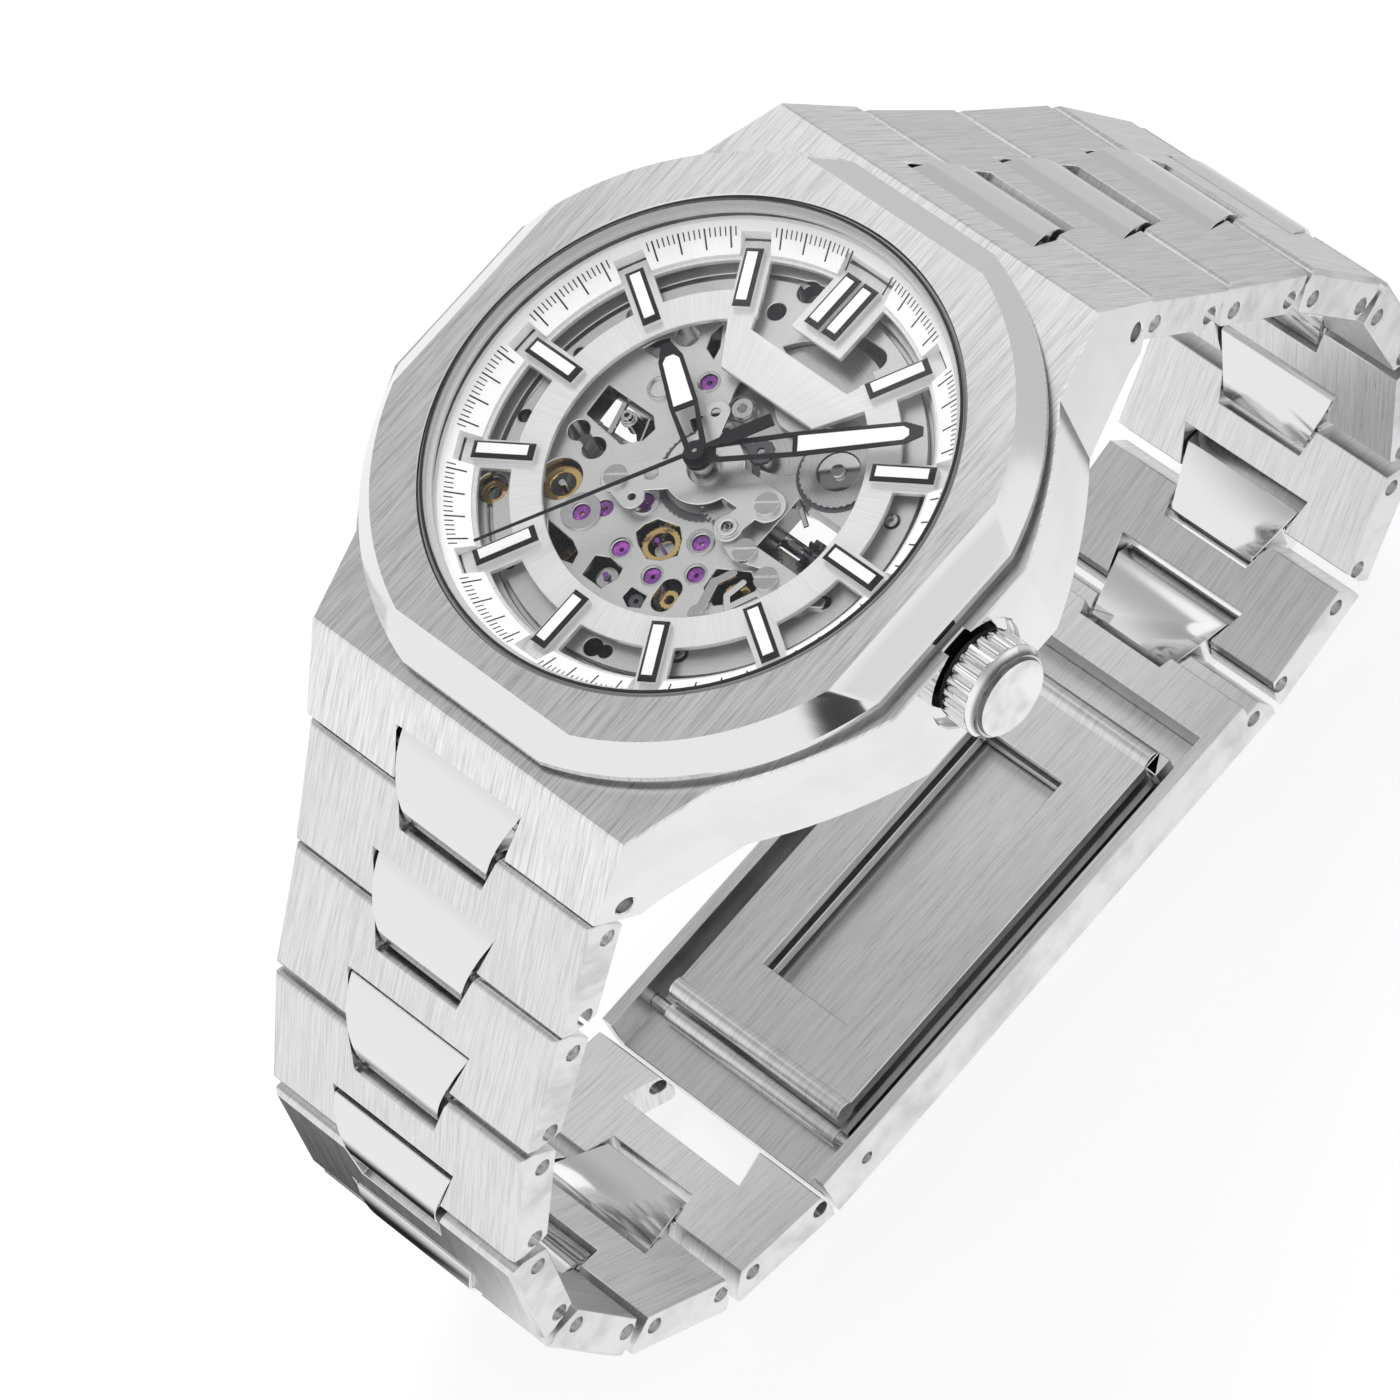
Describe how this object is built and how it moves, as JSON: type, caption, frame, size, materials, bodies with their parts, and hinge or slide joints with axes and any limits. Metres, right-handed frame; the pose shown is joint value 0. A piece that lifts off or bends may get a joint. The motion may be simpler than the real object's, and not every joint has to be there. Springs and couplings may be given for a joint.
{
  "type": "skeleton wristwatch",
  "caption": "Steel wristwatch with a skeleton dial, self-winding mechanical movement, crown and integrated link bracelet with folding clasp",
  "frame": {"origin": "centre of the case back outer face, which rests on the wrist", "axes": "+Z out of the dial, +Y to twelve o'clock, +X to three o'clock and the crown"},
  "size_m": [0.0446, 0.0836, 0.0579],
  "materials": {
    "brushed_case": "brushed",
    "polished_steel": "polished",
    "glass": "clear",
    "rubber": "satin",
    "silver_dial": "satin",
    "black_hands": "satin",
    "lume": "matte",
    "rhodium_plate": "frosted",
    "ruby": "polished",
    "gilt_wheel": "polished",
    "dark_steel": "satin"
  },
  "bodies": {
    "head": {"back_crystal": "glass", "balance_cock": "rhodium_plate", "barrel_bridge": "rhodium_plate", "bezel": "brushed_case", "bridge_screws": "polished_steel", "case_back": "polished_steel", "case_gaskets": "rubber", "case_middle": "brushed_case", "chapter_ring": "silver_dial", "crystal": "glass", "hairspring": "dark_steel", "hour_markers": "polished_steel", "jewels": "ruby", "keyless_cover": "rhodium_plate", "main_plate": "rhodium_plate", "mainspring": "dark_steel", "marker_lume": "lume", "minute_bridge": "rhodium_plate", "movement_ring": "polished_steel", "pallet_bridge": "rhodium_plate", "ratchet_wheel": "dark_steel", "skeleton_dial": "silver_dial", "train_bridge": "rhodium_plate"},
    "seconds": {"fourth_wheel": "gilt_wheel", "second_hand": "black_hands"},
    "third": {"third_wheel": "gilt_wheel"},
    "center": {"center_wheel": "gilt_wheel", "cannon_pinion": "black_hands", "minute_hand": "black_hands"},
    "barrel": {"barrel": "rhodium_plate"},
    "escape": {"escape_wheel": "gilt_wheel"},
    "minute_work": {"minute_wheel": "gilt_wheel"},
    "hours": {"hour_wheel": "gilt_wheel", "hour_hand": "black_hands"},
    "balance": {"balance_wheel": "gilt_wheel"},
    "pallets": {"pallet_fork": "dark_steel"},
    "rotor": {"rotor": "rhodium_plate"},
    "crown_slide": {"crown_gasket": "rubber"},
    "crown": {"crown": "polished_steel"},
    "winding_pinion": {"winding_pinion": "dark_steel"},
    "sliding_pinion": {"sliding_pinion": "dark_steel"},
    "setting_lever": {"setting_lever": "polished_steel"},
    "yoke": {"yoke": "polished_steel"},
    "clasp_cover": {"clasp_cover": "brushed_case"},
    "clasp_long_blade": {"clasp_long_blade": "polished_steel"},
    "clasp_short_blade": {"clasp_short_blade": "polished_steel"},
    "link_six_1": {"link_six_1": "brushed_case"},
    "link_six_2": {"link_six_2": "brushed_case"},
    "link_six_3": {"link_six_3": "brushed_case"},
    "link_six_4": {"link_six_4": "brushed_case"},
    "link_six_5": {"link_six_5": "brushed_case"},
    "link_six_6": {"link_six_6": "brushed_case"},
    "link_six_7": {"link_six_7": "brushed_case"},
    "link_twelve_1": {"link_twelve_1": "brushed_case"},
    "link_twelve_2": {"link_twelve_2": "brushed_case"},
    "link_twelve_3": {"link_twelve_3": "brushed_case"},
    "link_twelve_4": {"link_twelve_4": "brushed_case"},
    "link_twelve_5": {"link_twelve_5": "brushed_case"},
    "link_twelve_6": {"link_twelve_6": "brushed_case"},
    "link_twelve_7": {"link_twelve_7": "brushed_case"}
  },
  "joints": [
    {"name": "seconds_turn", "type": "hinge", "parent": "head", "child": "seconds", "pos_m": [0, 0, 0.005], "axis": [0, 0, 1], "continuous": true},
    {"name": "third_turn", "type": "hinge", "parent": "head", "child": "third", "pos_m": [0.00273, -0.00358, 0.005], "axis": [0, 0, 1], "continuous": true},
    {"name": "center_turn", "type": "hinge", "parent": "head", "child": "center", "pos_m": [0, 0, 0.005], "axis": [0, 0, 1], "continuous": true},
    {"name": "barrel_turn", "type": "hinge", "parent": "head", "child": "barrel", "pos_m": [0.00174, 0.00649, 0.005], "axis": [0, 0, 1], "continuous": true},
    {"name": "escape_turn", "type": "hinge", "parent": "head", "child": "escape", "pos_m": [-0.00206, -0.00343, 0.005], "axis": [0, 0, 1], "continuous": true},
    {"name": "minute_work_turn", "type": "hinge", "parent": "head", "child": "minute_work", "pos_m": [0.00236, -0.00042, 0.005], "axis": [0, 0, 1], "continuous": true},
    {"name": "hours_turn", "type": "hinge", "parent": "head", "child": "hours", "pos_m": [0, 0, 0.005], "axis": [0, 0, 1], "continuous": true},
    {"name": "balance_swing", "type": "hinge", "parent": "head", "child": "balance", "pos_m": [-0.00482, -0.00619, 0.005], "axis": [0, 0, 1], "range_deg": [-150, 150]},
    {"name": "pallet_rock", "type": "hinge", "parent": "head", "child": "pallets", "pos_m": [-0.00383, -0.0052, 0.0054], "axis": [0, 0, 1], "range_deg": [-4, 4]},
    {"name": "rotor_turn", "type": "hinge", "parent": "head", "child": "rotor", "pos_m": [0, 0, 0.0021], "axis": [0, 0, 1], "continuous": true},
    {"name": "crown_pull", "type": "slide", "parent": "head", "child": "crown_slide", "axis": [1, 0, 0], "range_m": [0, 0.0012]},
    {"name": "crown_turn", "type": "hinge", "parent": "crown_slide", "child": "crown", "pos_m": [0.02, 0, 0.0046], "axis": [1, 0, 0], "continuous": true},
    {"name": "winding_pinion_turn", "type": "hinge", "parent": "head", "child": "winding_pinion", "pos_m": [0.0095, 0, 0.0046], "axis": [1, 0, 0], "continuous": true},
    {"name": "sliding_pinion_shift", "type": "slide", "parent": "crown", "child": "sliding_pinion", "axis": [1, 0, 0], "range_m": [-0.00192, 0]},
    {"name": "setting_lever_turn", "type": "hinge", "parent": "head", "child": "setting_lever", "pos_m": [0.0102, -0.0034, 0.0072], "axis": [0, 0, -1], "range_deg": [0, 27.5]},
    {"name": "yoke_turn", "type": "hinge", "parent": "head", "child": "yoke", "pos_m": [0.0059, -0.0072, 0.0072], "axis": [0, 0, -1], "range_deg": [0, 14.32]},
    {"name": "link_six_1_bend", "type": "hinge", "parent": "head", "child": "link_six_1", "pos_m": [0, -0.02263, 0.0028], "axis": [-1, 0, 0], "range_deg": [0, 6]},
    {"name": "link_six_2_bend", "type": "hinge", "parent": "link_six_1", "child": "link_six_2", "pos_m": [0, -0.02804, -0.00414], "axis": [-1, 0, 0], "range_deg": [0, 6]},
    {"name": "link_six_3_bend", "type": "hinge", "parent": "link_six_2", "child": "link_six_3", "pos_m": [0, -0.03366, -0.01091], "axis": [-1, 0, 0], "range_deg": [0, 6]},
    {"name": "link_six_4_bend", "type": "hinge", "parent": "link_six_3", "child": "link_six_4", "pos_m": [0, -0.03815, -0.01847], "axis": [-1, 0, 0], "range_deg": [0, 6]},
    {"name": "link_six_5_bend", "type": "hinge", "parent": "link_six_4", "child": "link_six_5", "pos_m": [0, -0.03962, -0.02711], "axis": [-1, 0, 0], "range_deg": [0, 6]},
    {"name": "link_six_6_bend", "type": "hinge", "parent": "link_six_5", "child": "link_six_6", "pos_m": [0, -0.03698, -0.03544], "axis": [-1, 0, 0], "range_deg": [0, 6]},
    {"name": "link_six_7_bend", "type": "hinge", "parent": "link_six_6", "child": "link_six_7", "pos_m": [0, -0.03074, -0.04156], "axis": [-1, 0, 0], "range_deg": [0, 6]},
    {"name": "link_twelve_1_bend", "type": "hinge", "parent": "head", "child": "link_twelve_1", "pos_m": [0, 0.02263, 0.0028], "axis": [1, 0, 0], "range_deg": [0, 6]},
    {"name": "link_twelve_2_bend", "type": "hinge", "parent": "link_twelve_1", "child": "link_twelve_2", "pos_m": [0, 0.02804, -0.00414], "axis": [1, 0, 0], "range_deg": [0, 6]},
    {"name": "link_twelve_3_bend", "type": "hinge", "parent": "link_twelve_2", "child": "link_twelve_3", "pos_m": [0, 0.03366, -0.01091], "axis": [1, 0, 0], "range_deg": [0, 6]},
    {"name": "link_twelve_4_bend", "type": "hinge", "parent": "link_twelve_3", "child": "link_twelve_4", "pos_m": [0, 0.03815, -0.01847], "axis": [1, 0, 0], "range_deg": [0, 6]},
    {"name": "link_twelve_5_bend", "type": "hinge", "parent": "link_twelve_4", "child": "link_twelve_5", "pos_m": [0, 0.03962, -0.02711], "axis": [1, 0, 0], "range_deg": [0, 6]},
    {"name": "link_twelve_6_bend", "type": "hinge", "parent": "link_twelve_5", "child": "link_twelve_6", "pos_m": [0, 0.03698, -0.03544], "axis": [1, 0, 0], "range_deg": [0, 6]},
    {"name": "link_twelve_7_bend", "type": "hinge", "parent": "link_twelve_6", "child": "link_twelve_7", "pos_m": [0, 0.03074, -0.04156], "axis": [1, 0, 0], "range_deg": [0, 6]},
    {"name": "clasp_cover_bend", "type": "hinge", "parent": "link_twelve_7", "child": "clasp_cover", "pos_m": [0, 0.02235, -0.04404], "axis": [1, 0, 0], "range_deg": [0, 6]},
    {"name": "long_blade_open", "type": "hinge", "parent": "clasp_cover", "child": "clasp_long_blade", "pos_m": [0, -0.01792, -0.04418], "axis": [1, 0, 0], "range_deg": [0, 100]},
    {"name": "short_blade_open", "type": "hinge", "parent": "clasp_long_blade", "child": "clasp_short_blade", "pos_m": [0, 0.01307, -0.04418], "axis": [-1, 0, 0], "range_deg": [0, 60]}
  ],
  "couplings": [
    {"joint": "third_turn", "follows": "seconds_turn", "ratio": -0.13333},
    {"joint": "center_turn", "follows": "seconds_turn", "ratio": 0.016667},
    {"joint": "barrel_turn", "follows": "seconds_turn", "ratio": -0.0027778},
    {"joint": "escape_turn", "follows": "seconds_turn", "ratio": -9},
    {"joint": "minute_work_turn", "follows": "seconds_turn", "ratio": -0.0055556},
    {"joint": "hours_turn", "follows": "seconds_turn", "ratio": 0.0013889},
    {"joint": "winding_pinion_turn", "follows": "crown_turn", "ratio": 1},
    {"joint": "sliding_pinion_shift", "follows": "crown_pull", "ratio": -1.6},
    {"joint": "setting_lever_turn", "follows": "crown_pull", "rad_per_m": 400},
    {"joint": "yoke_turn", "follows": "crown_pull", "rad_per_m": 208.33}
  ]
}
